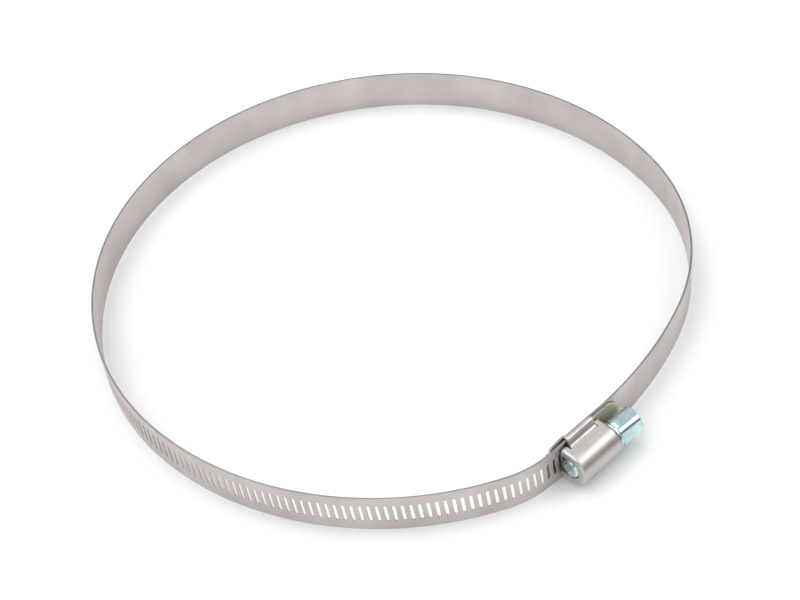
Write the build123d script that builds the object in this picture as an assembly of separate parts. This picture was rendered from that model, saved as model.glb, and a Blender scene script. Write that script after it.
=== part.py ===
from build123d import *
import os
from math import atan2, cos, degrees, radians, sin, tan

# Worm-drive hose clamp with a perforated band.
# Origin: centre of the hose seat, half way up the band. +Z runs across the band's width.
# The housing sits on the -Y side, with the screw along X and its head towards +X.
# "Depth" means the distance outwards (towards -Y) from the inner face of the band at the housing.

# ---- driving dimensions, in millimetres and degrees ----
seat_radius = 82.3              # the hose that the clamp just touches
band_width = 12.7
band_thickness = 0.6
layer_gap = 0.15                # between the plain end and the slotted end inside the housing

flat_proud = 0.1                # how far the straight stretch stands outside the seat circle
bend_radius = 119.0             # the band bends away inwards under the screw head
bend_angle = 20.3
right_radius = 88.2             # right side of the ring, next to the seat arc
right_angle = 85.5
seat_from = 68.5                # the arc of the ring that lies on the seat circle
seat_to = 180.1
left_radius = 89.2              # left side of the ring, next to the seat arc
left_angle = 64.1
halves_meet = 152.0             # where on the seat arc the plain half gives way to the slotted half
first_slot_angle = 156.0

slot_pitch = 2.2
slot_width = 0.9
slot_length = 6.4
slot_lean = 4.0                 # the slots lean with the thread
slots_before_housing = 1        # on the straight stretch, left of the housing
last_slot_to_tail_end = 6.5

housing_length = 14.5
sheet = 0.65                    # the housing's sheet thickness
edge_clearance = 0.15           # between the band's edges and the housing
face_clearance = 0.2            # between the slotted end and the shoulders above it
saddle_start = 2.6              # the part of the housing that wraps the band, from its tip end
saddle_length = 9.8
shoulder_round = 0.85
lip_length = 8.0                # lips folded under the plain end, in notches in its edges
lip_inner = 5.0                 # half the gap between the lips
dome_depth = 5.2                # centre of the dome
dome_radius = 5.0
dome_end_gap = 0.35             # between the slotted end and the dome beyond the saddle
end_wall = 0.6                  # walls that keep the thread in
end_round = 0.5
tip_hole_radius = 3.0
neck_hole_radius = 3.3

axis_height = 3.45              # screw axis above the slotted band at the housing's tip end
screw_lean = 3.4                # the screw leans outwards towards its head, which clears the tail
thread_radius = 3.95
core_radius = 3.2
core_start = 0.9
thread_crest = 0.4
thread_root = 0.7
thread_sink = 0.2               # the thread's root is sunk into the core
thread_turns = 5.5
tip_radius = 2.9
tip_end_radius = 2.3
tip_cone = 0.7
tip_reach = 0.2                 # how far the tip stands out of the housing
collar_radius = 4.2
collar_thickness = 0.8
collar_gap = 0.15
head_across_flats = 8.0
head_corner_radius = 4.28       # the hexagon's corners are turned down to this
head_length = 8.0
head_chamfer = 0.8
head_turn = 3.5                 # how far the head is turned at rest
driver_slot_turn = 30            # runs across two flats of the head
driver_slot_width = 1.2
driver_slot_depth = 2.2

tail_length = 8.9               # slotted end beyond the housing
tail_corner = 6.2
plain_end_length = 4.2          # plain end beyond the housing on the tip side
plain_end_corner = 2.5

# ---- derived dimensions ----
half_width = band_width / 2
flat_y = -(seat_radius + flat_proud)
tongue_depth = band_thickness + layer_gap            # inner face of the slotted end
tongue_outer = tongue_depth + band_thickness
inner_half = half_width + edge_clearance
outer_half = inner_half + sheet
channel_top = tongue_outer + face_clearance
shoulder_top = channel_top + sheet
bore_radius = dome_radius - sheet
axis_depth = tongue_outer + axis_height              # at the housing's tip end
thread_pitch = slot_pitch * cos(radians(screw_lean))


def out(depth):
    """Y of a point that lies this far outside the band's inner face at the housing."""
    return flat_y - depth


def heading(angle):
    return Vector(cos(radians(angle)), sin(radians(angle)))


def block(x_from, x_to, depth_from, depth_to, half_z):
    size = (x_to - x_from, depth_to - depth_from, 2 * half_z)
    centre = ((x_from + x_to) / 2, out((depth_from + depth_to) / 2), 0)
    return Pos(*centre) * Box(*size)


# ---- the ring's outline: tangent arcs, each (centre, inner radius, from angle, to angle) ----
def joined_centre(centre, radius, angle, next_radius):
    """Centre of an arc that runs on smoothly from another arc at the given angle."""
    return centre + (radius - next_radius) * heading(angle)


def closing_radius(centre, radius, side_end, flat, bend, bend_end):
    """Radius of the arc between a side arc and the bend, or the straight stretch if the bend is 0."""
    lift = sin(radians(bend_end))
    rise = centre.Y + radius * sin(radians(side_end)) - flat - bend * (1 + lift)
    return rise / (sin(radians(side_end)) - lift)


def right_arcs():
    side_end = seat_from - right_angle
    bend_end = -90 + bend_angle
    side = joined_centre(Vector(0, 0), seat_radius, seat_from, right_radius)
    lower_radius = closing_radius(side, right_radius, side_end, flat_y, bend_radius, bend_end)
    lower = joined_centre(side, right_radius, side_end, lower_radius)
    bend = joined_centre(lower, lower_radius, bend_end, bend_radius)
    return [(bend, bend_radius, -90, bend_end), (lower, lower_radius, bend_end, side_end),
            (side, right_radius, side_end, seat_from)]


def left_arcs():
    side_end = seat_to + left_angle
    side = joined_centre(Vector(0, 0), seat_radius, seat_to, left_radius)
    lower_radius = closing_radius(side, left_radius, side_end, out(tongue_depth), 0, 270)
    lower = joined_centre(side, left_radius, side_end, lower_radius)
    return [(side, left_radius, seat_to, side_end), (lower, lower_radius, side_end, 270)]


flat_left = left_arcs()[-1][0].X
flat_right = right_arcs()[0][0].X
mesh_offset = (axis_height + band_thickness / 2) * tan(radians(screw_lean))
housing_left = flat_left + (slots_before_housing + 0.5) * slot_pitch - mesh_offset
housing_right = housing_left + housing_length
saddle_left = housing_left + saddle_start
saddle_right = saddle_left + saddle_length
tail_end = housing_right + tail_length


def arc_strip(arcs):
    """Face between the arcs' inner radii and the same arcs one band thickness further out."""
    inner = [CenterArc(centre, radius, start, end - start) for centre, radius, start, end in arcs]
    outer = [CenterArc(centre, radius + band_thickness, start, end - start)
             for centre, radius, start, end in arcs]
    ends = [Line(inner[0] @ 0, outer[0] @ 0), Line(inner[-1] @ 1, outer[-1] @ 1)]
    return make_face(inner + outer + ends)


def band_from_face(face):
    return Pos(0, 0, -half_width) * extrude(face, band_width)


# ---- the slots ----
def slot_cutter(middle, outward):
    """A leaning slot, cut right through the band where the band faces this way."""
    along = Vector(-outward.Y, outward.X)
    place = Plane(origin=middle, x_dir=along, z_dir=outward)
    outline = Rot(0, 0, 90 - slot_lean) * SlotOverall(slot_length, slot_width)
    return place * extrude(outline, band_thickness, both=True)


def straight_slots():
    """X of every slot in the straight end. The third one is the first inside the housing."""
    first = flat_left + slot_pitch / 2
    count = int((tail_end - last_slot_to_tail_end - first) / slot_pitch) + 1
    return [first + i * slot_pitch for i in range(count)]


def curved_slots(arcs):
    """Slots along the arcs, counted back from the straight end, as (point, outward direction)."""
    places = []
    travelled = slot_pitch / 2
    for centre, radius, start, end in reversed(arcs):
        middle_radius = radius + band_thickness / 2
        length = middle_radius * radians(end - start)
        while travelled <= length:
            outward = heading(end - degrees(travelled / middle_radius))
            places.append((centre + middle_radius * outward, outward))
            travelled += slot_pitch
        travelled -= length
    return places


def ring_angle(point):
    """Direction of a point from the centre of the ring, from 0 to 360."""
    return degrees(atan2(point.Y, point.X)) % 360


# ---- the band, in three stretches ----
def plain_band():
    """Plain half: from its end under the housing, round the right side and part of the back."""
    seat = (Vector(0, 0), seat_radius, seat_from, halves_meet)
    ring = band_from_face(arc_strip(right_arcs() + [seat]))
    end_x = housing_left - plain_end_length
    straight = block(end_x, flat_right, 0, band_thickness, half_width)
    corners = straight.edges().filter_by(Axis.Y).group_by(Axis.X)[0]
    band = fillet(corners, plain_end_corner) + ring
    notch_depth = half_width - lip_inner
    for side in (-1, 1):
        middle = Pos(saddle_left + saddle_length / 2, out(0), side * half_width)
        band -= middle * Box(lip_length, 4 * band_thickness, 2 * notch_depth)
    return band


def slotted_band():
    """Slotted half, from the far side of the ring to the straight stretch."""
    seat = (Vector(0, 0), seat_radius, halves_meet, seat_to)
    arcs = [seat] + left_arcs()
    cutters = [slot_cutter(point, outward) for point, outward in curved_slots(arcs)
               if ring_angle(point) > first_slot_angle]
    return band_from_face(arc_strip(arcs)) - cutters


def band_tongue():
    """Straight slotted end, which runs through the housing under the worm and ends in the tail."""
    strip = block(flat_left, tail_end, tongue_depth, tongue_outer, half_width)
    corners = strip.edges().filter_by(Axis.Y).group_by(Axis.X)[-1]
    strip = fillet(corners, tail_corner)
    middle_y = out(tongue_depth + band_thickness / 2)
    return strip - [slot_cutter(Vector(x, middle_y), Vector(0, -1)) for x in straight_slots()]


# ---- the screw, along its own axis: local X points inwards to the band, local Y is +Z ----
lean_cos = cos(radians(screw_lean))
lean_sin = sin(radians(screw_lean))
axis_start = Vector(housing_left, out(axis_depth), 0)
screw_plane = Plane(origin=axis_start, x_dir=(lean_sin, lean_cos, 0), z_dir=(lean_cos, -lean_sin, 0))
axis_length = housing_length / lean_cos
collar_start = axis_length + collar_radius * lean_sin / lean_cos + collar_gap
head_start = collar_start + collar_thickness


def turned(radius, start, length):
    return Pos(0, 0, start + length / 2) * Cylinder(radius, length)


def thread():
    """Right-hand thread of narrow teeth. It crosses the band side at whole pitches."""
    root = core_radius - thread_sink
    start_angle = 180
    helix = Rot(0, 0, start_angle) * Helix(thread_pitch, thread_turns * thread_pitch, core_radius)
    helix = Pos(0, 0, thread_pitch * start_angle / 360) * helix
    points = [(root, -thread_root / 2), (thread_radius, -thread_crest / 2),
              (thread_radius, thread_crest / 2), (root, thread_root / 2)]
    tooth = make_face(Polyline(*points, close=True))
    across = Plane(origin=(0, 0, thread_pitch / 2), x_dir=(-1, 0, 0), z_dir=(0, 1, 0))
    return sweep(across * tooth, path=helix, is_frenet=True)


def hex_head():
    prism = extrude(RegularPolygon(head_across_flats / 2, 6, major_radius=False), head_length)
    turned_blank = Cylinder(head_corner_radius, head_length)
    turned_blank = Pos(0, 0, head_length / 2) * chamfer(turned_blank.edges(), head_chamfer)
    slot = Box(2 * head_across_flats, driver_slot_width, 2 * driver_slot_depth)
    slot = Pos(0, 0, head_length) * Rot(0, 0, driver_slot_turn) * slot
    return Pos(0, 0, head_start) * Rot(0, 0, head_turn) * ((prism & turned_blank) - slot)


def worm_screw():
    tip = Pos(0, 0, (tip_cone - tip_reach) / 2 - tip_reach / 2) * Cone(tip_end_radius, tip_radius, tip_cone)
    screw = tip + turned(tip_radius, tip_cone - tip_reach, core_start)
    screw += turned(core_radius, core_start, head_start - core_start)
    screw += turned(collar_radius, collar_start, collar_thickness)
    return screw_plane * (screw + thread() + hex_head())


# ---- the housing ----
def arch(radius, x_from, x_to):
    """Round-topped tunnel that runs straight along the housing and is open towards the band."""
    plane = Plane(origin=(x_from, out(dome_depth), 0), x_dir=(0, 1, 0), z_dir=(1, 0, 0))
    outline = Circle(radius) + Pos(dome_depth / 2, 0) * Rectangle(dome_depth, 2 * radius)
    return plane * extrude(outline, x_to - x_from)


def dome_blank():
    foot = block(housing_left, housing_right, 0, tongue_outer + dome_end_gap, outer_half)
    return arch(dome_radius, housing_left, housing_right) - foot


def screw_hole(radius, start):
    """Hole for the screw in an end wall, open to the band."""
    drop = axis_height + band_thickness + housing_length * lean_sin
    outline = Circle(radius) + Pos(drop / 2, 0) * Rectangle(drop, 2 * radius)
    return screw_plane * (Pos(0, 0, start) * extrude(outline, 3 * end_wall, both=True))


def worm_chamber():
    """Space for the thread between the end walls, and a hole in each wall."""
    bore = arch(bore_radius, housing_left + end_wall, housing_right - end_wall)
    return bore + screw_hole(tip_hole_radius, 0) + screw_hole(neck_hole_radius, axis_length)


def band_channel():
    """Space for both layers of band, with a narrower gap between the lips."""
    upper = block(housing_left - 1, housing_right + 1, sheet, channel_top, inner_half)
    between_lips = block(housing_left - 1, housing_right + 1, -1, sheet, lip_inner)
    lip_margin = (saddle_length - lip_length) / 2
    front = block(saddle_left - 1, saddle_left + lip_margin, -1, sheet, inner_half)
    back = block(saddle_right - lip_margin, saddle_right + 1, -1, sheet, inner_half)
    return upper + between_lips + front + back


def housing():
    saddle = block(saddle_left, saddle_right, 0, shoulder_top, outer_half)
    saddle = fillet(saddle.edges().filter_by(Axis.X), shoulder_round)
    shell = saddle + dome_blank()
    rims = [e for e in shell.edges().filter_by(GeomType.CIRCLE) if abs(e.radius - dome_radius) < 0.01]
    shell = fillet(rims, end_round)
    return shell - worm_chamber() - band_channel()


# ---- one file per node ----
os.makedirs("parts", exist_ok=True)
nodes = {"housing": housing, "worm_screw": worm_screw, "plain_band": plain_band,
         "slotted_band": slotted_band, "band_tongue": band_tongue}
for name, make in nodes.items():
    export_step(make(), "parts/" + name + ".step")
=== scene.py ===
import bmesh
import bpy
from math import ceil, cos, hypot, pi, radians, sin, sqrt, tan
from mathutils import Matrix, Vector


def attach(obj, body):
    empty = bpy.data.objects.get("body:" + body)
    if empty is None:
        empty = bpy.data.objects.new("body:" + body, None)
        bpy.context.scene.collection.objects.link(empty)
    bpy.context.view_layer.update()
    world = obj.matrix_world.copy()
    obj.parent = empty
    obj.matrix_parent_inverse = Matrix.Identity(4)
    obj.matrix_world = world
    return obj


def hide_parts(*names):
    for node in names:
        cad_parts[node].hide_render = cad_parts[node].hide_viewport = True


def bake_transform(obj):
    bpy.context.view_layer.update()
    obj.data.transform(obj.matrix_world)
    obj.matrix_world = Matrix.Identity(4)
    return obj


# Worm-drive hose clamp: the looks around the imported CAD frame.
# Lengths in the shape code are millimetres in the CAD's own frame, and meshes are made in metres.
# "Depth" is the distance outwards (-Y) from the inner face of the band at the housing.

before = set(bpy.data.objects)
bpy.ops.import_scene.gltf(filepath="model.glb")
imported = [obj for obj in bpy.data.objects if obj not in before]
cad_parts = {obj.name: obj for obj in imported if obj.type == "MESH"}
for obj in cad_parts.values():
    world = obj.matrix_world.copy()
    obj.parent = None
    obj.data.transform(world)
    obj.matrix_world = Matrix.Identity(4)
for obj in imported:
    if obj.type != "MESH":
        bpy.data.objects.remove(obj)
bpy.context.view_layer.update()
MM = 0.001

# ---- dimensions shared with the CAD ----
SEAT_RADIUS = 82.3
FLAT_Y = -82.4
BAND = 0.6
HALF = 6.35
TONGUE_DEPTH = 0.75
PITCH = 2.2
SLOT_WIDTH, SLOT_LENGTH, SLOT_LEAN = 0.9, 6.4, 4.0
SHEET = 0.65
EDGE_CLEARANCE, FACE_CLEARANCE = 0.15, 0.2
HALVES_MEET = 152.0
FIRST_SLOT_ANGLE = 156.0
LAST_SLOT_TO_TAIL_END = 6.5
SEAT_FROM, SEAT_TO = 68.5, 180.1
RIGHT_RADIUS, RIGHT_ANGLE = 88.2, 85.5
BEND_RADIUS, BEND_ANGLE = 119.0, 20.3
LEFT_RADIUS, LEFT_ANGLE = 89.2, 64.1
LEAN = radians(3.4)
AXIS_DEPTH = 4.8
DOME_DEPTH, DOME_RADIUS = 5.2, 5.0
HOUSING_LENGTH, SADDLE_START, SADDLE_LENGTH = 14.5, 2.6, 9.8
LIP_LENGTH, LIP_INNER = 8.0, 5.0
TIP_HOLE_RADIUS, NECK_HOLE_RADIUS = 3.0, 3.3
TAIL_LENGTH, TAIL_CORNER = 8.9, 6.2
PLAIN_END, PLAIN_CORNER = 4.2, 2.5


def heading(angle):
    return Vector((cos(radians(angle)), sin(radians(angle))))


def next_centre(centre, radius, angle, next_radius):
    return centre + (radius - next_radius) * heading(angle)


def closing(centre, radius, side_end, flat, bend, bend_end):
    """Radius of the arc that joins a side of the ring to the bend, or to the flat where bend is 0."""
    lift = sin(radians(bend_end))
    rise = centre.y + radius * sin(radians(side_end)) - flat - bend * (1 + lift)
    return rise / (sin(radians(side_end)) - lift)


def ring_outline():
    """The ring's tangent arcs on the right and on the left, each (centre, inner radius, from, to)."""
    zero = Vector((0, 0))
    side_end = SEAT_FROM - RIGHT_ANGLE
    bend_end = -90 + BEND_ANGLE
    side = next_centre(zero, SEAT_RADIUS, SEAT_FROM, RIGHT_RADIUS)
    lower_radius = closing(side, RIGHT_RADIUS, side_end, FLAT_Y, BEND_RADIUS, bend_end)
    lower = next_centre(side, RIGHT_RADIUS, side_end, lower_radius)
    bend = next_centre(lower, lower_radius, bend_end, BEND_RADIUS)
    right = [(bend, BEND_RADIUS, -90, bend_end), (lower, lower_radius, bend_end, side_end),
             (side, RIGHT_RADIUS, side_end, SEAT_FROM)]
    left_end = SEAT_TO + LEFT_ANGLE
    left_side = next_centre(zero, SEAT_RADIUS, SEAT_TO, LEFT_RADIUS)
    left_lower = closing(left_side, LEFT_RADIUS, left_end, FLAT_Y - TONGUE_DEPTH, 0, 270)
    corner = next_centre(left_side, LEFT_RADIUS, left_end, left_lower)
    left = [(left_side, LEFT_RADIUS, SEAT_TO, left_end), (corner, left_lower, left_end, 270)]
    return right, left


RIGHT_ARCS, LEFT_ARCS = ring_outline()
FLAT_RIGHT = RIGHT_ARCS[0][0].x
FLAT_LEFT = LEFT_ARCS[-1][0].x
MESH_OFFSET = (AXIS_DEPTH - TONGUE_DEPTH - BAND + BAND / 2) * tan(LEAN)
HOUSING_LEFT = FLAT_LEFT + 1.5 * PITCH - MESH_OFFSET
HOUSING_RIGHT = HOUSING_LEFT + HOUSING_LENGTH
SADDLE_LEFT = HOUSING_LEFT + SADDLE_START
SADDLE_RIGHT = SADDLE_LEFT + SADDLE_LENGTH
TAIL_END = HOUSING_RIGHT + TAIL_LENGTH
LIP_MARGIN = (SADDLE_LENGTH - LIP_LENGTH) / 2


# ---- paths: functions from length along the middle of the band to (point, outward direction) ----
class Path:
    def __init__(self, pieces):
        """pieces: ("arc", centre, inner radius, from, to) or ("line", x from, x to, depth)."""
        self.pieces = []
        start = 0.0
        for piece in pieces:
            if piece[0] == "arc":
                length = (piece[2] + BAND / 2) * radians(abs(piece[4] - piece[3]))
            else:
                length = abs(piece[2] - piece[1])
            self.pieces.append((start, length, piece))
            start += length
        self.length = start

    def at(self, s):
        for start, length, piece in self.pieces:
            if s <= start + length or piece is self.pieces[-1][2]:
                break
        share = (s - start) / length
        if piece[0] == "arc":
            outward = heading(piece[3] + (piece[4] - piece[3]) * share)
            return piece[1] + (piece[2] + BAND / 2) * outward, outward
        x = piece[1] + (piece[2] - piece[1]) * share
        return Vector((x, FLAT_Y - piece[3] - BAND / 2)), Vector((0, -1))


def place(path, s, z, depth):
    """Point of the band: s along it, z across it, depth outwards from its middle."""
    middle, outward = path.at(s)
    p = middle + depth * outward
    return Vector((p.x, p.y, z)) * MM


def new_object(name, bm, sharp=32):
    bmesh.ops.recalc_face_normals(bm, faces=bm.faces)
    mesh = bpy.data.meshes.new(name)
    bm.to_mesh(mesh)
    bm.free()
    mesh.shade_smooth()
    mesh.set_sharp_from_angle(angle=radians(sharp))
    obj = bpy.data.objects.new(name, mesh)
    bpy.context.scene.collection.objects.link(obj)
    return obj


def add_uv(bm, where):
    """UV in millimetres from a function of the vertex, for the grain that runs along the strip."""
    layer = bm.loops.layers.uv.new("UVMap")
    for face in bm.faces:
        for loop in face.loops:
            loop[layer].uv = where[loop.vert]


# ---- the plain half of the band ----
EDGE = 0.1          # rounding along the strip's sheared edges
PLAIN_SPRING = 0.5  # how far the plain end springs away from the slotted end
PLAIN_STEPS = 300


def strip_profile(half):
    """Closed cross-section of the strip as (z, depth) pairs with rounded edges."""
    t = BAND / 2
    corner = EDGE * 0.3
    side = [(half - EDGE, t), (half - corner, t - corner), (half, t - EDGE),
            (half, -t + EDGE), (half - corner, -t + corner), (half - EDGE, -t)]
    middle = [(half * k, -t) for k in (0.5, 0, -0.5)]
    back = [(-z, d) for z, d in reversed(side)]
    return side + middle + back + [(half * k, t) for k in (-0.5, 0, 0.5)]


def plain_half_width(s, notches):
    """Half the strip's width at s, with its rounded end and the notches that take the housing's lips."""
    half = HALF
    if s < PLAIN_CORNER:
        half -= PLAIN_CORNER - sqrt(max(PLAIN_CORNER ** 2 - (PLAIN_CORNER - s) ** 2, 0))
    if notches[0] < s < notches[1]:
        half = LIP_INNER
    return half


def plain_dip(x):
    """How far the plain band stands inwards at x, most where the saddle starts."""
    if x < SADDLE_LEFT:
        share = (x - HOUSING_LEFT + PLAIN_END) / (SADDLE_LEFT - HOUSING_LEFT + PLAIN_END)
    else:
        share = (FLAT_RIGHT - x) / (FLAT_RIGHT - SADDLE_LEFT)
    share = min(1, max(0, share))
    return PLAIN_SPRING * share * share * (3 - 2 * share)


def make_plain_band():
    """One closed tube of strip profiles from the plain end, through the housing, to the back of the ring."""
    start_x = HOUSING_LEFT - PLAIN_END
    arcs = [("arc",) + arc for arc in RIGHT_ARCS]
    seat = ("arc", Vector((0, 0)), SEAT_RADIUS, SEAT_FROM, HALVES_MEET)
    path = Path([("line", start_x, FLAT_RIGHT, 0.0)] + arcs + [seat])
    notch = (SADDLE_LEFT + LIP_MARGIN - start_x, SADDLE_RIGHT - LIP_MARGIN - start_x)
    rounded_end = [0.0, 0.04, 0.15, 0.35, 0.65, 1.05, 1.5, 2.0, PLAIN_CORNER]
    first = 3.0
    even = [first + k * (path.length - first) / PLAIN_STEPS for k in range(PLAIN_STEPS + 1)]
    notch_ends = [side + step for side in notch for step in (-0.01, 0.01)]
    stations = sorted(rounded_end + notch_ends + even)
    bm = bmesh.new()
    where = {}
    rings = []
    for s in stations:
        ring = []
        for z, d in strip_profile(plain_half_width(s, notch)):
            v = bm.verts.new(place(path, s, z, d - plain_dip(start_x + s)))
            where[v] = (s, z + d)
            ring.append(v)
        rings.append(ring)
    for a, b in zip(rings, rings[1:]):
        for k in range(len(a)):
            j = (k + 1) % len(a)
            bm.faces.new((a[k], a[j], b[j], b[k]))
    bm.faces.new(list(reversed(rings[0])))
    bm.faces.new(rings[-1])
    add_uv(bm, where)
    return new_object("plain_half", bm)


# ---- the slotted half of the band, with its tail ----
ROWS = 5        # points up each straight side of a slot
CAP = 6         # steps round each end of a slot
RIM = 0.07      # rounding round the slots


def slot_outline(grow):
    """Closed outline of a leaning slot as (s, z), counter-clockwise from the lower right."""
    radius = SLOT_WIDTH / 2
    straight = SLOT_LENGTH / 2 - radius
    points = [(radius + grow, -straight + 2 * straight * k / (ROWS - 1)) for k in range(ROWS)]
    for k in range(1, CAP):
        a = pi * k / CAP
        points.append(((radius + grow) * cos(a), straight + (radius + grow) * sin(a)))
    points += [(-x, -z) for x, z in points]
    lean = radians(SLOT_LEAN)
    return [(x * cos(lean) - z * sin(lean), x * sin(lean) + z * cos(lean)) for x, z in points]


def cell_border(half, low, high):
    """Points round a cell that pair up with slot_outline; half gives half the cell's width at s."""

    def along(start, end):
        return [start + (end - start) * k / CAP for k in range(1, CAP)]

    right = [(high, -half(high) + 2 * half(high) * k / (ROWS - 1)) for k in range(ROWS)]
    top = [(s, half(s)) for s in along(high, low)]
    left = [(low, half(low) - 2 * half(low) * k / (ROWS - 1)) for k in range(ROWS)]
    bottom = [(s, -half(s)) for s in along(low, high)]
    return right + top + left + bottom


def slot_places(path):
    """Middles of the slots along the path, at whole pitches from the first on the straight stretch."""
    first_straight = path.length - (TAIL_END - FLAT_LEFT) + PITCH / 2
    slotted_straight = TAIL_END - LAST_SLOT_TO_TAIL_END - FLAT_LEFT - PITCH / 2
    slots = [first_straight + k * PITCH for k in range(int(slotted_straight / PITCH) + 1)]
    earliest = (SEAT_RADIUS + BAND / 2) * radians(FIRST_SLOT_ANGLE - HALVES_MEET)
    s = first_straight - PITCH
    while s > earliest:
        slots.insert(0, s)
        s -= PITCH
    return slots


def make_slotted_band():
    """The strip from the back of the ring to the tail, built of one cell per slot and plain stretches."""
    seat = ("arc", Vector((0, 0)), SEAT_RADIUS, HALVES_MEET, SEAT_TO)
    arcs = [("arc",) + arc for arc in LEFT_ARCS]
    path = Path([seat] + arcs + [("line", FLAT_LEFT, TAIL_END, TONGUE_DEPTH)])
    slots = slot_places(path)
    t = BAND / 2

    def half(s):
        left = path.length - s
        if left < TAIL_CORNER:
            return HALF - TAIL_CORNER + sqrt(max(TAIL_CORNER ** 2 - (TAIL_CORNER - left) ** 2, 0))
        return HALF

    bm = bmesh.new()
    where = {}
    cache = {}

    def vert(s, z, d):
        key = (round(s, 4), round(z, 4), round(d, 4))
        if key not in cache:
            v = bm.verts.new(place(path, s, z, d))
            where[v] = (s, z + d)
            cache[key] = v
        return cache[key]

    def quad(a, b, c, d):
        corners = []
        for v in (vert(*a), vert(*b), vert(*c), vert(*d)):
            if v not in corners:
                corners.append(v)
        if len(corners) > 2:
            bm.faces.new(corners)

    def inset(s):
        return max(half(s) - EDGE, 0.02)

    def edge_strip(low, high, steps):
        """The band's two edges between low and high: a chamfer, the sheared face and a chamfer."""
        profile = ((inset, t), (half, t - EDGE), (half, -t + EDGE), (inset, -t))
        cuts = [low + (high - low) * k / steps for k in range(steps + 1)]
        for a, b in zip(cuts, cuts[1:]):
            for sign in (1, -1):
                for (width, d), (next_width, e) in zip(profile, profile[1:]):
                    quad((a, sign * width(a), d), (b, sign * width(b), d),
                         (b, sign * next_width(b), e), (a, sign * next_width(a), e))

    def solid_stretch(low, high, steps):
        cuts = [low + (high - low) * k / steps for k in range(steps + 1)]
        for a, b in zip(cuts, cuts[1:]):
            for k in range(ROWS - 1):
                for d in (t, -t):
                    za = [-inset(a) + 2 * inset(a) * j / (ROWS - 1) for j in (k, k + 1)]
                    zb = [-inset(b) + 2 * inset(b) * j / (ROWS - 1) for j in (k, k + 1)]
                    quad((a, za[0], d), (b, zb[0], d), (b, zb[1], d), (a, za[1], d))
        edge_strip(low, high, steps)

    def slot_cell(middle):
        low, high = middle - PITCH / 2, middle + PITCH / 2
        border = cell_border(inset, low, high)
        rim = [(middle + x, z) for x, z in slot_outline(RIM)]
        hole = [(middle + x, z) for x, z in slot_outline(0)]
        for k in range(len(border)):
            j = (k + 1) % len(border)
            for d, e in ((t, t - RIM), (-t, -t + RIM)):
                quad((*border[k], d), (*border[j], d), (*rim[j], d), (*rim[k], d))
                quad((*rim[k], d), (*rim[j], d), (*hole[j], e), (*hole[k], e))
            quad((*hole[k], t - RIM), (*hole[j], t - RIM), (*hole[j], -t + RIM), (*hole[k], -t + RIM))
        edge_strip(low, high, CAP)

    first_cell = slots[0] - PITCH / 2
    solid_stretch(0, first_cell, ceil(first_cell))
    for middle in slots:
        slot_cell(middle)
    last_cell = slots[-1] + PITCH / 2
    end = path.length
    tail_steps = 12
    cuts = [end - (end - last_cell) * (1 - sin(pi / 2 * k / tail_steps)) for k in range(1, tail_steps)]
    cuts = [last_cell] + cuts + [end]
    for a, b in zip(cuts, cuts[1:]):
        solid_stretch(a, b, 1)
    for s in (0, end):
        zs = [-inset(s) + 2 * inset(s) * j / (ROWS - 1) for j in range(ROWS)]
        outline = [(z, t) for z in zs] + [(half(s), t - EDGE), (half(s), -t + EDGE)]
        outline += [(z, -t) for z in reversed(zs)] + [(-half(s), -t + EDGE), (-half(s), t - EDGE)]
        corners = []
        for z, d in outline:
            v = vert(s, z, d)
            if v not in corners:
                corners.append(v)
        bm.faces.new(corners)
    add_uv(bm, where)
    return new_object("slotted_half", bm)


# ---- the housing: one pressed sheet ----
FOOT = 3.35         # depth at which the dome turns out into the saddle
END_FOOT = 1.75     # depth of the dome's edges beyond the saddle
FRONT_ROUND, BACK_ROUND = 0.85, 0.5


def arch_line(shrink, centre_depth, foot, radius=DOME_RADIUS, steps=28):
    """Arch across the housing as (z, depth): two legs from the foot and a round top, inset by shrink."""
    r = radius - shrink
    legs = 6
    left = [(-r, foot + (centre_depth - foot) * k / legs) for k in range(legs)]
    top = [(-r * cos(pi * k / steps), centre_depth + r * sin(pi * k / steps)) for k in range(steps + 1)]
    right = [(r, centre_depth - (centre_depth - foot) * k / legs) for k in range(1, legs + 1)]
    return left + top + right


def quarter(steps, point):
    """Points of a quarter turn, from a function of the angle."""
    return [point(pi / 2 * k / steps) for k in range(steps + 1)]


def wing_line():
    """The saddle's upper side from the dome's foot to the tip of the lip, as (z, depth)."""
    outer = HALF + EDGE_CLEARANCE + SHEET
    top = TONGUE_DEPTH + BAND + FACE_CLEARANCE + SHEET
    bend, shoulder, lower = FOOT - top, 0.95, 0.85
    pts = quarter(6, lambda a: (DOME_RADIUS + bend * (1 - cos(a)), top + bend * (1 - sin(a))))[1:]
    pts += quarter(8, lambda a: (outer - shoulder + shoulder * sin(a), top - shoulder + shoulder * cos(a)))
    pts += quarter(8, lambda a: (outer - lower + lower * cos(a), lower - lower * sin(a)))
    return pts + [(LIP_INNER, 0.0)]


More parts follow.
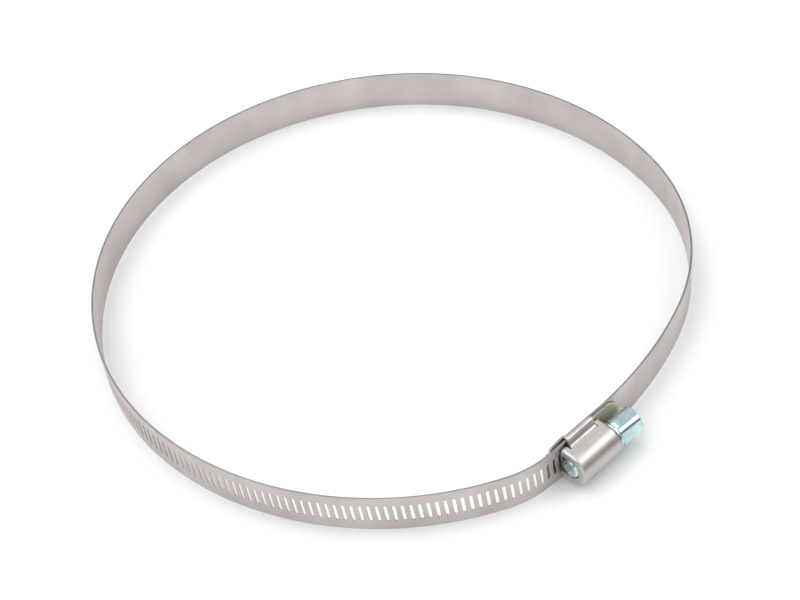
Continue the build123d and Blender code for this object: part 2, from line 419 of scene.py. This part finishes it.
def make_housing():
    """Open skin of the housing's outer face; a Solidify modifier gives the sheet its thickness."""
    wing = wing_line()
    arch = arch_line(0, DOME_DEPTH, FOOT)
    hole_front = arch_line(0, AXIS_DEPTH, FOOT, radius=TIP_HOLE_RADIUS)
    legs = 4
    back_depth = AXIS_DEPTH + HOUSING_LENGTH * tan(LEAN)
    hole_back = arch_line(0, back_depth, FOOT, radius=NECK_HOLE_RADIUS)
    left_wing = [(-z, d) for z, d in reversed(wing)]

    def mixed(a, b, share):
        return [(z + (y - z) * share, d + (e - d) * share) for (z, d), (y, e) in zip(a, b)]

    def front_and_back(x_end, round_off, hole, inwards):
        """Rows from the hole's rim out to the barrel, as (x, arch line)."""
        flat = arch_line(round_off, DOME_DEPTH, FOOT)
        rows = [(x_end, mixed(hole, flat, k / 4)) for k in range(4)]
        for k in range(8):
            a = pi / 2 * (1 - k / 7)
            x = x_end + inwards * round_off * (1 - sin(a))
            rows.append((x, arch_line(round_off * (1 - cos(a)), DOME_DEPTH, FOOT)))
        return rows

    front = front_and_back(HOUSING_LEFT, FRONT_ROUND, hole_front, 1)
    back = front_and_back(HOUSING_RIGHT, BACK_ROUND, hole_back, -1)
    front_barrel = [(front[-1][0] + (SADDLE_LEFT - front[-1][0]) * k / 4, arch) for k in range(1, 4)]
    saddle = [(SADDLE_LEFT + SADDLE_LENGTH * k / 14, arch) for k in range(15)]
    back_barrel = [(SADDLE_RIGHT + (back[-1][0] - SADDLE_RIGHT) * k / 4, arch) for k in range(1, 4)]
    rows = front + front_barrel + saddle + back_barrel + list(reversed(back))
    bm = bmesh.new()
    where = {}

    def chain(x, points, start):
        """Vertices along part of a row, with the distance run across the sheet for the grain."""
        verts, run = [], start
        for k, (z, d) in enumerate(points):
            run += hypot(z - points[k - 1][0], d - points[k - 1][1]) if k else 0
            v = bm.verts.new(Vector((x, FLAT_Y - d, z)) * MM)
            where[v] = (x, run)
            verts.append(v)
        return verts

    grid = []
    for x, line in rows:
        with_wings = SADDLE_LEFT - 0.001 <= x <= SADDLE_RIGHT + 0.001
        middle = chain(x, line, 0)
        z, d = line[0]
        drop = [(z, d + (END_FOOT - d) * (legs - k) / legs) for k in range(legs)]
        if with_wings:
            sides = (chain(x, left_wing, -12) + middle[:1], middle[-1:] + chain(x, wing, 20))
        else:
            mirror = [(-z, d) for z, d in reversed(drop)]
            sides = (chain(x, drop, -2) + middle[:1], middle[-1:] + chain(x, mirror, 20))
        grid.append((with_wings, middle, *sides))
    for a, b in zip(grid, grid[1:]):
        for part in (1, 2, 3):
            if part > 1 and a[0] != b[0]:
                continue
            for k in range(len(a[part]) - 1):
                bm.faces.new((a[part][k], b[part][k], b[part][k + 1], a[part][k + 1]))
    add_uv(bm, where)
    return new_object("housing_shell", bm, sharp=60)


def thicken(obj, sheet, bevel):
    """Gives a skin its sheet thickness towards the inside, eases its cut edges, and applies both."""
    solid = obj.modifiers.new("sheet", "SOLIDIFY")
    solid.thickness = sheet * MM
    solid.offset = -1
    solid.use_even_offset = True
    ease = obj.modifiers.new("ease", "BEVEL")
    ease.width = bevel * MM
    ease.segments = 2
    ease.limit_method = "ANGLE"
    ease.angle_limit = radians(50)
    apply_modifiers(obj)


def apply_modifiers(obj):
    depsgraph = bpy.context.evaluated_depsgraph_get()
    mesh = bpy.data.meshes.new_from_object(obj.evaluated_get(depsgraph))
    obj.modifiers.clear()
    obj.data = mesh


# ---- the screw: rows of radii round its own axis ----
AXIS = Vector((cos(LEAN), -sin(LEAN), 0))
BANDWARD = Vector((sin(LEAN), cos(LEAN), 0))
UPWARD = Vector((0, 0, 1))
COLUMNS = 72            # points round the screw
THREAD_PITCH = PITCH * cos(LEAN)
THREAD_FROM, THREAD_TO = 0.5, 6.0       # turns along the screw
THREAD_HEIGHT, THREAD_FADE = 0.75, 0.12
THREAD_REACH, THREAD_FLANK = 0.42, 0.2
TIP_RADIUS, CORE_RADIUS = 2.9, 3.2
CORE_START, CORE_END = 0.92, 13.9
COLLAR_RADIUS, COLLAR_THICKNESS, COLLAR_GAP = 4.2, 0.8, 0.15
COLLAR_START = HOUSING_LENGTH / cos(LEAN) + COLLAR_RADIUS * tan(LEAN) + COLLAR_GAP
HEAD_START = COLLAR_START + COLLAR_THICKNESS
HEAD_LENGTH, ACROSS_FLATS, HEAD_TURN = 8.0, 8.0, 3.5
CORNER_RADIUS, CHAMFER_RADIUS = 4.28, 3.5
DRIVER_SLOT_WIDTH, DRIVER_SLOT_DEPTH = 1.2, 2.2


def thread_height(t, turn):
    """How far the thread stands out of the core at t along the axis, a share of a turn from the band."""
    along = t / THREAD_PITCH - turn
    lap = round(along)
    place_in_helix = lap + turn
    if not THREAD_FROM <= place_in_helix <= THREAD_TO:
        return 0.0
    ends = min(place_in_helix - THREAD_FROM, THREAD_TO - place_in_helix) / THREAD_FADE
    off = abs(along - lap) * THREAD_PITCH
    return THREAD_HEIGHT * min(1, ends) * min(1, max(0, (THREAD_REACH - off) / THREAD_FLANK))


def hexagon(angle):
    """Radius of the head's outline at an angle in degrees."""
    from_flat = (angle - HEAD_TURN + 0.001) % 60 - 30
    return min(CORNER_RADIUS, ACROSS_FLATS / 2 / cos(radians(from_flat)))


def screw_rows():
    """Rows along the screw, each a list of (t, radius) round the axis."""
    rows = []

    def ring(t, r):
        rows.append([(t, r)] * COLUMNS)

    tip = ((-0.12, 1.1), (-0.17, 1.7), (-0.2, 2.1), (-0.17, 2.28), (-0.1, 2.42), (0.05, 2.58),
           (0.25, 2.74), (0.45, 2.86), (0.6, TIP_RADIUS), (0.78, TIP_RADIUS), (0.86, 2.94),
           (CORE_START, CORE_RADIUS))
    for t, r in tip:
        ring(t, r)
    steps = 124
    for k in range(1, steps):
        t = CORE_START + (CORE_END - CORE_START) * k / steps
        rows.append([(t, CORE_RADIUS + thread_height(t, j / COLUMNS)) for j in range(COLUMNS)])
    collar = ((CORE_END, CORE_RADIUS), (COLLAR_START - 0.04, CORE_RADIUS), (COLLAR_START, 3.26),
              (COLLAR_START, COLLAR_RADIUS - 0.2), (COLLAR_START + 0.05, COLLAR_RADIUS - 0.06),
              (COLLAR_START + 0.16, COLLAR_RADIUS), (HEAD_START - 0.2, COLLAR_RADIUS),
              (HEAD_START - 0.06, COLLAR_RADIUS - 0.05), (HEAD_START - 0.01, COLLAR_RADIUS - 0.12))
    for t, r in collar:
        ring(t, r)
    angles = [360 * j / COLUMNS for j in range(COLUMNS)]
    rows.append([(HEAD_START, min(hexagon(a) + 0.1, 4.06)) for a in angles])
    rows.append([(HEAD_START + 0.05, min(hexagon(a), 4.04) * 0.985) for a in angles])
    top = HEAD_START + HEAD_LENGTH
    base = HEAD_START + 0.18
    ends = [top - max(0.12, hexagon(a) - CHAMFER_RADIUS) for a in angles]
    for k in range(9):
        rows.append([(base + (e - base) * k / 8, hexagon(a)) for a, e in zip(angles, ends)])
    for share in (0.3, 0.65):
        rows.append([(e + (top - 0.05 - e) * share, hexagon(a) + (CHAMFER_RADIUS - hexagon(a)) * share)
                     for a, e in zip(angles, ends)])
    rows.append([(top - 0.05, min(hexagon(a), CHAMFER_RADIUS) - 0.01) for a in angles])
    for t, r in ((top, 3.4), (top, 2.5), (top, 1.3)):
        ring(t, r)
    return rows


def cut_driver_slot(screw, origin):
    """Cuts the driver slot across two flats of the head."""
    cutter = bmesh.new()
    bmesh.ops.create_cube(cutter, size=1)
    turn = radians(HEAD_TURN - 60)
    across = cos(turn) * BANDWARD + sin(turn) * UPWARD
    along = -sin(turn) * BANDWARD + cos(turn) * UPWARD
    size = (across * DRIVER_SLOT_WIDTH, along * 3 * HEAD_LENGTH / 2, AXIS * 2 * DRIVER_SLOT_DEPTH)
    to_world = Matrix(size).transposed().to_4x4()
    to_world.translation = origin + (HEAD_START + HEAD_LENGTH) * AXIS
    bmesh.ops.transform(cutter, matrix=Matrix.Scale(MM, 4) @ to_world, verts=cutter.verts)
    slot_box = new_object("slot_box", cutter)
    cut = screw.modifiers.new("slot", "BOOLEAN")
    cut.operation = "DIFFERENCE"
    cut.solver = "EXACT"
    cut.object = slot_box
    apply_modifiers(screw)
    bpy.data.objects.remove(slot_box)
    screw.data.set_sharp_from_angle(angle=radians(35))


def make_screw():
    """The rows of screw_rows skinned into one closed mesh, with the driver slot cut out."""
    origin = Vector((HOUSING_LEFT, FLAT_Y - AXIS_DEPTH, 0))
    bm = bmesh.new()
    where = {}
    rings = []
    for row in screw_rows():
        ring = []
        for j, (t, r) in enumerate(row):
            a = 2 * pi * j / COLUMNS
            v = bm.verts.new((origin + t * AXIS + r * (cos(a) * BANDWARD + sin(a) * UPWARD)) * MM)
            where[v] = (t, a * 4)
            ring.append(v)
        rings.append(ring)
    for a, b in zip(rings, rings[1:]):
        for j in range(COLUMNS):
            i = (j + 1) % COLUMNS
            bm.faces.new((a[j], a[i], b[i], b[j]))
    for ring, t in ((rings[0], -0.1), (rings[-1], HEAD_START + HEAD_LENGTH)):
        centre = bm.verts.new((origin + t * AXIS) * MM)
        where[centre] = (t, 0)
        for j in range(COLUMNS):
            bm.faces.new((ring[j], ring[(j + 1) % COLUMNS], centre))
    add_uv(bm, where)
    screw = new_object("screw", bm, sharp=35)
    cut_driver_slot(screw, origin)
    return screw


# ---- materials ----
def metal(name, color, darker, roughness, grain, grain_axis, bump, blotch=3.0):
    """Metal with a fine directional grain, soft blotches, uneven gloss and a few fine scratches."""
    material = bpy.data.materials.new(name)
    material.use_nodes = True
    nodes, links = material.node_tree.nodes, material.node_tree.links
    shader = nodes["Principled BSDF"]
    shader.inputs["Metallic"].default_value = 1.0
    coord = nodes.new("ShaderNodeTexCoord")

    def noise(scale, detail, stretch=None):
        node = nodes.new("ShaderNodeTexNoise")
        node.inputs["Scale"].default_value = scale
        node.inputs["Detail"].default_value = detail
        if stretch:
            mapping = nodes.new("ShaderNodeMapping")
            mapping.inputs["Scale"].default_value = stretch
            links.new(coord.outputs["UV"], mapping.inputs["Vector"])
            links.new(mapping.outputs["Vector"], node.inputs["Vector"])
        else:
            links.new(coord.outputs["Object"], node.inputs["Vector"])
        return node.outputs["Fac"]

    def spread(value, low, high, out_low, out_high):
        node = nodes.new("ShaderNodeMapRange")
        node.inputs["From Min"].default_value = low
        node.inputs["From Max"].default_value = high
        node.inputs["To Min"].default_value = out_low
        node.inputs["To Max"].default_value = out_high
        links.new(value, node.inputs["Value"])
        return node.outputs["Result"]

    def combine(kind, a, b):
        node = nodes.new("ShaderNodeMath")
        node.operation = kind
        links.new(a, node.inputs[0])
        links.new(b, node.inputs[1])
        return node.outputs["Value"]

    fine = noise(grain, 6, grain_axis)
    scratch = noise(grain * 0.35, 2, tuple(x * 2.1 for x in grain_axis))
    tone = noise(1000 / blotch / 4, 3)
    mix = nodes.new("ShaderNodeMix")
    mix.data_type = "RGBA"
    mix.inputs["A"].default_value = (*darker, 1)
    mix.inputs["B"].default_value = (*color, 1)
    links.new(combine("ADD", spread(tone, 0.3, 0.7, 0.0, 0.6), spread(fine, 0.3, 0.7, 0.0, 0.4)),
              mix.inputs["Factor"])
    links.new(mix.outputs["Result"], shader.inputs["Base Color"])
    rough = combine("ADD", spread(fine, 0.25, 0.75, roughness * 0.8, roughness * 1.1),
                    spread(tone, 0.3, 0.7, roughness * 0.15, -roughness * 0.05))
    links.new(rough, shader.inputs["Roughness"])
    bump_node = nodes.new("ShaderNodeBump")
    bump_node.inputs["Strength"].default_value = bump
    bump_node.inputs["Distance"].default_value = 0.00004
    links.new(combine("ADD", fine, spread(scratch, 0.62, 0.72, 0.0, -0.6)), bump_node.inputs["Height"])
    links.new(bump_node.outputs["Normal"], shader.inputs["Normal"])
    return material


def give(obj, material):
    obj.data.materials.clear()
    obj.data.materials.append(material)


# ---- the pieces ----
plain_half = make_plain_band()
slotted_half = make_slotted_band()
shell = make_housing()
thicken(shell, SHEET, bevel=0.09)
screw = make_screw()

LENGTHWISE = (0.12, 5.0, 1.0)       # stretch of the grain along a strip
band_steel = metal("band_steel", color=(0.60, 0.55, 0.535), darker=(0.49, 0.445, 0.43),
                   roughness=0.43, grain=1.0, grain_axis=LENGTHWISE, bump=0.25)
shell_steel = metal("shell_steel", color=(0.62, 0.58, 0.56), darker=(0.47, 0.44, 0.42),
                    roughness=0.36, grain=1.0, grain_axis=(0.25, 3.0, 1.0), bump=0.2)
zinc = metal("zinc_plate", color=(0.70, 0.86, 0.88), darker=(0.36, 0.53, 0.56),
             roughness=0.15, grain=0.9, grain_axis=(0.5, 1.2, 1.0), bump=0.12, blotch=1.6)
sheared_edge = metal("sheared_edge", color=(0.34, 0.31, 0.31), darker=(0.26, 0.24, 0.24),
                     roughness=0.42, grain=1.0, grain_axis=LENGTHWISE, bump=0.25)
# Beige tone for the tail: painted shade from the screw head and painted reflection of the zinc screw, not a
# steel of its own
tail_painted_shade_and_reflection = metal("tail_painted_shade_and_reflection", color=(0.80, 0.72, 0.56), darker=(0.62, 0.55, 0.42),
                   roughness=0.5, grain=1.0, grain_axis=LENGTHWISE, bump=0.25)
PAINTED_SHADE_FROM = SADDLE_LEFT + 2    # under the saddle, where the border of the painted shade and reflection is hidden
for strip in (plain_half, slotted_half):
    give(strip, band_steel)
    strip.data.materials.append(sheared_edge)
    for face in strip.data.polygons:
        if abs(face.normal.z) > 0.8 and abs(face.center.z) > (HALF - 0.15) * MM:
            face.material_index = 1
# The slotted straight beyond the saddle gets the painted shade and reflection, apart from its edge faces
slotted_half.data.materials.append(tail_painted_shade_and_reflection)
for face in slotted_half.data.polygons:
    on_straight = face.center.y < FLAT_Y * MM and face.center.x > PAINTED_SHADE_FROM * MM
    if on_straight and face.material_index == 0:
        face.material_index = 2
give(shell, shell_steel)
give(screw, zinc)

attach(plain_half, "housing")
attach(shell, "housing")
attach(screw, "screw")
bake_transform(slotted_half)
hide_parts("plain_band")
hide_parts("slotted_band", "band_tongue")
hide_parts("housing")
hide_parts("worm_screw")

# ---- floor, light and camera ----
FLOOR_Z = -7.15 * MM


def make_floor():
    bm = bmesh.new()
    bmesh.ops.create_grid(bm, x_segments=24, y_segments=24, size=2.5)
    floor = new_object("floor", bm)
    floor.location = (0, 0, FLOOR_Z)
    material = bpy.data.materials.new("paper")
    material.use_nodes = True
    shader = material.node_tree.nodes["Principled BSDF"]
    shader.inputs["Base Color"].default_value = (0.93, 0.93, 0.93, 1)
    shader.inputs["Roughness"].default_value = 0.9
    shader.inputs["Specular IOR Level"].default_value = 0.1
    give(floor, material)


def area_light(name, place_at, aim, width, height, watts):
    data = bpy.data.lights.new(name, "AREA")
    data.shape = "RECTANGLE"
    data.size, data.size_y = width, height
    data.energy = watts
    light = bpy.data.objects.new(name, data)
    light.location = place_at
    light.rotation_euler = (Vector(aim) - Vector(place_at)).to_track_quat("-Z", "Y").to_euler()
    bpy.context.scene.collection.objects.link(light)


def camera(distance, elevation, azimuth, roll, focal, target):
    """Camera at the photograph's angle, with its roll; focal is in pixels of an 800 pixel wide image."""
    e, a = radians(elevation), radians(azimuth)
    target = Vector(target)
    away = Vector((cos(e) * cos(a), cos(e) * sin(a), sin(e)))
    data = bpy.data.cameras.new("camera")
    data.sensor_width = 36
    data.lens = focal * 36 / 800
    data.clip_start, data.clip_end = 0.01, 20
    obj = bpy.data.objects.new("camera", data)
    facing = (-away).to_track_quat("-Z", "Y")
    obj.rotation_mode = "QUATERNION"
    obj.rotation_quaternion = facing @ Matrix.Rotation(radians(roll), 3, "Z").to_quaternion()
    obj.location = target + away * distance
    bpy.context.scene.collection.objects.link(obj)
    bpy.context.scene.camera = obj


def make_world():
    """Studio surroundings that are bright overhead and dim near the horizon."""
    world = bpy.data.worlds.new("studio")
    bpy.context.scene.world = world
    world.use_nodes = True
    nodes, links = world.node_tree.nodes, world.node_tree.links
    direction = nodes.new("ShaderNodeTexCoord")
    parts = nodes.new("ShaderNodeSeparateXYZ")
    height = nodes.new("ShaderNodeMapRange")
    height.inputs["From Min"].default_value = 0.05
    height.inputs["From Max"].default_value = 0.75
    height.inputs["To Min"].default_value = 0.16
    height.inputs["To Max"].default_value = 0.72
    links.new(direction.outputs["Generated"], parts.inputs["Vector"])
    links.new(parts.outputs["Z"], height.inputs["Value"])
    links.new(height.outputs["Result"], nodes["Background"].inputs["Strength"])
    nodes["Background"].inputs["Color"].default_value = (0.97, 0.98, 1.0, 1)


bpy.context.scene.view_settings.view_transform = "Standard"
make_world()
make_floor()
area_light("key", (-0.35, 0.35, 1.0), aim=(0, 0, 0), width=1.6, height=1.6, watts=11)
area_light("fill", (0.6, -0.5, 0.9), aim=(0, 0, 0), width=0.8, height=0.5, watts=3.4)
area_light("front", (-0.75, -0.75, 0.35), aim=(0, -0.08, 0), width=0.25, height=0.4, watts=1.6)
camera(distance=0.519122, elevation=46.2110, azimuth=-128.9252, roll=-7.6032, focal=1798.2,
       target=(0.0008257, -0.0059917, -0.00635))
